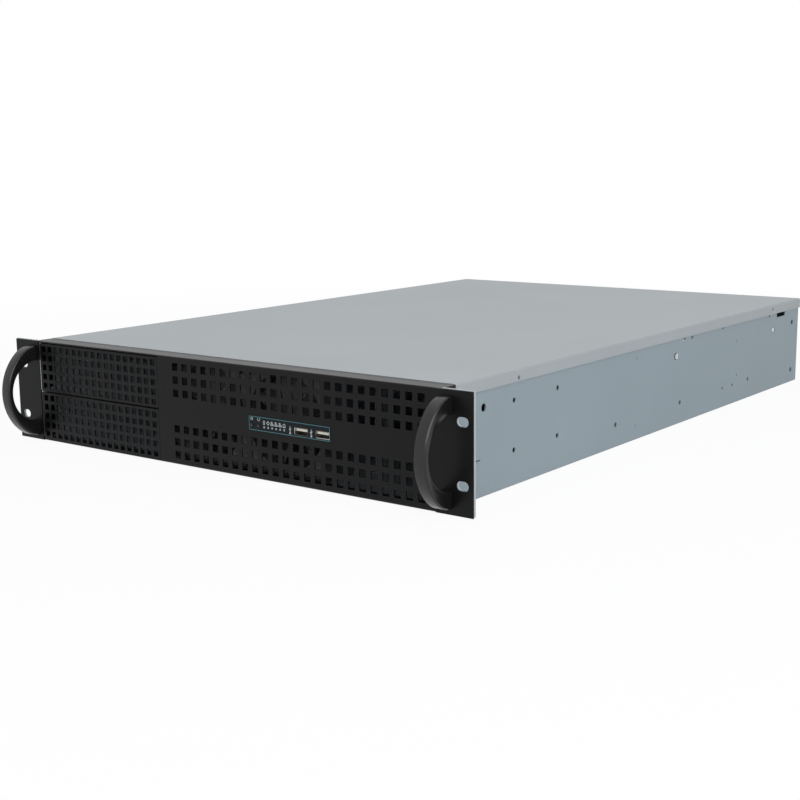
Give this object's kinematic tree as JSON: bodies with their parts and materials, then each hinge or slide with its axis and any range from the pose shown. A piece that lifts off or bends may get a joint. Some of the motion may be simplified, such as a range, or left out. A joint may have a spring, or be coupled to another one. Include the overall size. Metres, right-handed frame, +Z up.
{
  "type": "rackmount_server_case",
  "caption": "Empty two-unit rackmount server case: bare steel chassis and sliding cover, black perforated front with bay covers, fans, handles and rack ears.",
  "frame": {"origin": "Centre of the four rack slots, on the rear face of the ears, which seats on the rack's rails.", "axes": "+X to the right seen from the front, +Y to the rear of the case, +Z up."},
  "size_m": [0.4826, 0.6998, 0.088],
  "materials": {
    "galvanised_steel": "satin",
    "black_coat": "matte",
    "handle_black": "satin",
    "screw_steel": "satin",
    "brass": "satin",
    "fan_plastic": "matte",
    "rotor_plastic": "satin",
    "label_film": "gloss",
    "circuit_board": "satin",
    "lamp_clear": "gloss",
    "button_black": "satin",
    "port_steel": "polished",
    "port_plastic": "matte"
  },
  "bodies": {
    "case": {"chassis_pan": "galvanised_steel", "rear_panel": "galvanised_steel", "slot_frame": "galvanised_steel", "slot_screws": "screw_steel", "psu_bracket": "galvanised_steel", "cross_brace": "galvanised_steel", "brace_screws": "screw_steel", "board_standoffs": "brass", "front_bezel": "black_coat", "rack_ear_left": "galvanised_steel", "rack_ear_right": "galvanised_steel", "handle_left": "handle_black", "handle_right": "handle_black", "handle_screws": "screw_steel", "bay_cage": "galvanised_steel", "hard_drive_cage": "galvanised_steel", "fan_tray": "galvanised_steel", "fan_screws": "screw_steel", "io_label": "label_film", "io_board": "circuit_board", "io_bracket": "galvanised_steel", "io_switches": "button_black", "led_lamps": "lamp_clear", "slot_cover_1": "galvanised_steel", "slot_cover_2": "galvanised_steel", "slot_cover_3": "galvanised_steel", "slot_cover_4": "galvanised_steel", "slot_cover_5": "galvanised_steel", "slot_cover_6": "galvanised_steel", "slot_cover_7": "galvanised_steel", "fan_frame_1": "fan_plastic", "fan_frame_2": "fan_plastic", "usb_shell_1": "port_steel", "usb_shell_2": "port_steel", "usb_tongue_1": "port_plastic", "usb_tongue_2": "port_plastic"},
    "cover": {"top_cover": "galvanised_steel", "cover_thumbscrews": "screw_steel"},
    "upper_bay_cover": {"bay_cover_upper": "black_coat"},
    "lower_bay_cover": {"bay_cover_lower": "black_coat"},
    "power_key": {"power_button": "button_black"},
    "reset_key": {"reset_button": "button_black"},
    "rotor_1": {"fan_rotor_1": "rotor_plastic"},
    "rotor_2": {"fan_rotor_2": "rotor_plastic"}
  },
  "joints": [
    {"name": "cover_slide", "type": "slide", "parent": "case", "child": "cover", "axis": [0, 1, 0], "range_m": [0, 0.016]},
    {"name": "upper_bay_cover_pull", "type": "slide", "parent": "case", "child": "upper_bay_cover", "axis": [0, -1, 0], "range_m": [0, 0.03]},
    {"name": "lower_bay_cover_pull", "type": "slide", "parent": "case", "child": "lower_bay_cover", "axis": [0, -1, 0], "range_m": [0, 0.03]},
    {"name": "power_press", "type": "slide", "parent": "case", "child": "power_key", "axis": [0, 1, 0], "range_m": [0, 0.0008], "stiffness_N_per_m": 1500},
    {"name": "reset_press", "type": "slide", "parent": "case", "child": "reset_key", "axis": [0, 1, 0], "range_m": [0, 0.0008], "stiffness_N_per_m": 1500},
    {"name": "fan_1_spin", "type": "hinge", "parent": "case", "child": "rotor_1", "pos_m": [-0.021, 0.0245, 0], "axis": [0, 1, 0], "continuous": true},
    {"name": "fan_2_spin", "type": "hinge", "parent": "case", "child": "rotor_2", "pos_m": [0.0596, 0.0245, 0], "axis": [0, 1, 0], "continuous": true}
  ]
}
